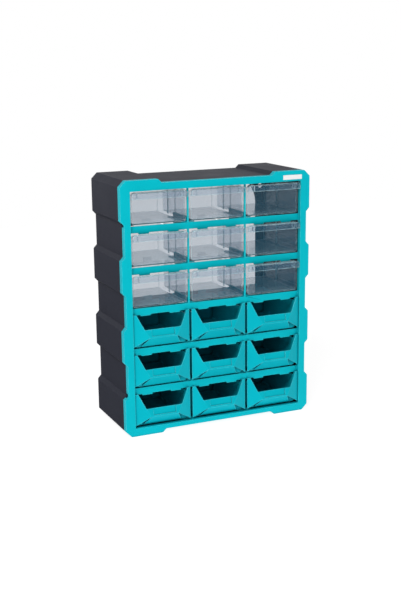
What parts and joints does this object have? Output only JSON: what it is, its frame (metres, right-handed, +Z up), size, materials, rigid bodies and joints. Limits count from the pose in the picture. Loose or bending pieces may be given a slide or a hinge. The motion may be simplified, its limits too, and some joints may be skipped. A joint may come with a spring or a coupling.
{
  "type": "parts bin cabinet",
  "caption": "Free-standing or wall-hung cabinet for small parts, with clear pull-out drawers above and open-fronted pick bins below in a stepped plastic housing.",
  "frame": {"origin": "under the middle of the whole box, on the surface the cabinet stands on", "axes": "+X to the right seen from the front, +Y from the front to the back, +Z up"},
  "size_m": [0.381, 0.165, 0.475],
  "materials": {
    "charcoal_plastic": "moulded polypropylene with a fine matt grain",
    "turquoise_plastic": "moulded polypropylene with a soft sheen",
    "clear_plastic": "clear moulded polystyrene with a polished surface",
    "blank_label": "plain white film"
  },
  "bodies": {
    "cabinet": {"housing": "charcoal_plastic", "side_ledges_left": "charcoal_plastic", "side_ledges_right": "charcoal_plastic", "front_frame": "turquoise_plastic", "label_plate": "blank_label", "rails_row1": "turquoise_plastic", "rails_row2": "turquoise_plastic", "rails_row3": "turquoise_plastic", "rails_row4": "turquoise_plastic", "rails_row5": "turquoise_plastic", "rails_row6": "turquoise_plastic"},
    "drawer_row1_left": {"drawer_row1_left": "clear_plastic"},
    "drawer_row1_centre": {"drawer_row1_centre": "clear_plastic"},
    "drawer_row1_right": {"drawer_row1_right": "clear_plastic"},
    "drawer_row2_left": {"drawer_row2_left": "clear_plastic"},
    "drawer_row2_centre": {"drawer_row2_centre": "clear_plastic"},
    "drawer_row2_right": {"drawer_row2_right": "clear_plastic"},
    "drawer_row3_left": {"drawer_row3_left": "clear_plastic"},
    "drawer_row3_centre": {"drawer_row3_centre": "clear_plastic"},
    "drawer_row3_right": {"drawer_row3_right": "clear_plastic"},
    "bin_row4_left": {"bin_row4_left": "turquoise_plastic"},
    "bin_row4_centre": {"bin_row4_centre": "turquoise_plastic"},
    "bin_row4_right": {"bin_row4_right": "turquoise_plastic"},
    "bin_row5_left": {"bin_row5_left": "turquoise_plastic"},
    "bin_row5_centre": {"bin_row5_centre": "turquoise_plastic"},
    "bin_row5_right": {"bin_row5_right": "turquoise_plastic"},
    "bin_row6_left": {"bin_row6_left": "turquoise_plastic"},
    "bin_row6_centre": {"bin_row6_centre": "turquoise_plastic"},
    "bin_row6_right": {"bin_row6_right": "turquoise_plastic"}
  },
  "joints": [
    {"name": "drawer_row1_left_slide", "type": "slide", "parent": "cabinet", "child": "drawer_row1_left", "axis": [0, -1, 0], "range_m": [0, 0.1298]},
    {"name": "drawer_row1_centre_slide", "type": "slide", "parent": "cabinet", "child": "drawer_row1_centre", "axis": [0, -1, 0], "range_m": [0, 0.1298]},
    {"name": "drawer_row1_right_slide", "type": "slide", "parent": "cabinet", "child": "drawer_row1_right", "axis": [0, -1, 0], "range_m": [0, 0.1298]},
    {"name": "drawer_row2_left_slide", "type": "slide", "parent": "cabinet", "child": "drawer_row2_left", "axis": [0, -1, 0], "range_m": [0, 0.1298]},
    {"name": "drawer_row2_centre_slide", "type": "slide", "parent": "cabinet", "child": "drawer_row2_centre", "axis": [0, -1, 0], "range_m": [0, 0.1298]},
    {"name": "drawer_row2_right_slide", "type": "slide", "parent": "cabinet", "child": "drawer_row2_right", "axis": [0, -1, 0], "range_m": [0, 0.1298]},
    {"name": "drawer_row3_left_slide", "type": "slide", "parent": "cabinet", "child": "drawer_row3_left", "axis": [0, -1, 0], "range_m": [0, 0.1298]},
    {"name": "drawer_row3_centre_slide", "type": "slide", "parent": "cabinet", "child": "drawer_row3_centre", "axis": [0, -1, 0], "range_m": [0, 0.1298]},
    {"name": "drawer_row3_right_slide", "type": "slide", "parent": "cabinet", "child": "drawer_row3_right", "axis": [0, -1, 0], "range_m": [0, 0.1298]},
    {"name": "bin_row4_left_slide", "type": "slide", "parent": "cabinet", "child": "bin_row4_left", "axis": [0, -1, 0], "range_m": [0, 0.1298]},
    {"name": "bin_row4_centre_slide", "type": "slide", "parent": "cabinet", "child": "bin_row4_centre", "axis": [0, -1, 0], "range_m": [0, 0.1298]},
    {"name": "bin_row4_right_slide", "type": "slide", "parent": "cabinet", "child": "bin_row4_right", "axis": [0, -1, 0], "range_m": [0, 0.1298]},
    {"name": "bin_row5_left_slide", "type": "slide", "parent": "cabinet", "child": "bin_row5_left", "axis": [0, -1, 0], "range_m": [0, 0.1298]},
    {"name": "bin_row5_centre_slide", "type": "slide", "parent": "cabinet", "child": "bin_row5_centre", "axis": [0, -1, 0], "range_m": [0, 0.1298]},
    {"name": "bin_row5_right_slide", "type": "slide", "parent": "cabinet", "child": "bin_row5_right", "axis": [0, -1, 0], "range_m": [0, 0.1298]},
    {"name": "bin_row6_left_slide", "type": "slide", "parent": "cabinet", "child": "bin_row6_left", "axis": [0, -1, 0], "range_m": [0, 0.1298]},
    {"name": "bin_row6_centre_slide", "type": "slide", "parent": "cabinet", "child": "bin_row6_centre", "axis": [0, -1, 0], "range_m": [0, 0.1298]},
    {"name": "bin_row6_right_slide", "type": "slide", "parent": "cabinet", "child": "bin_row6_right", "axis": [0, -1, 0], "range_m": [0, 0.1298]}
  ]
}
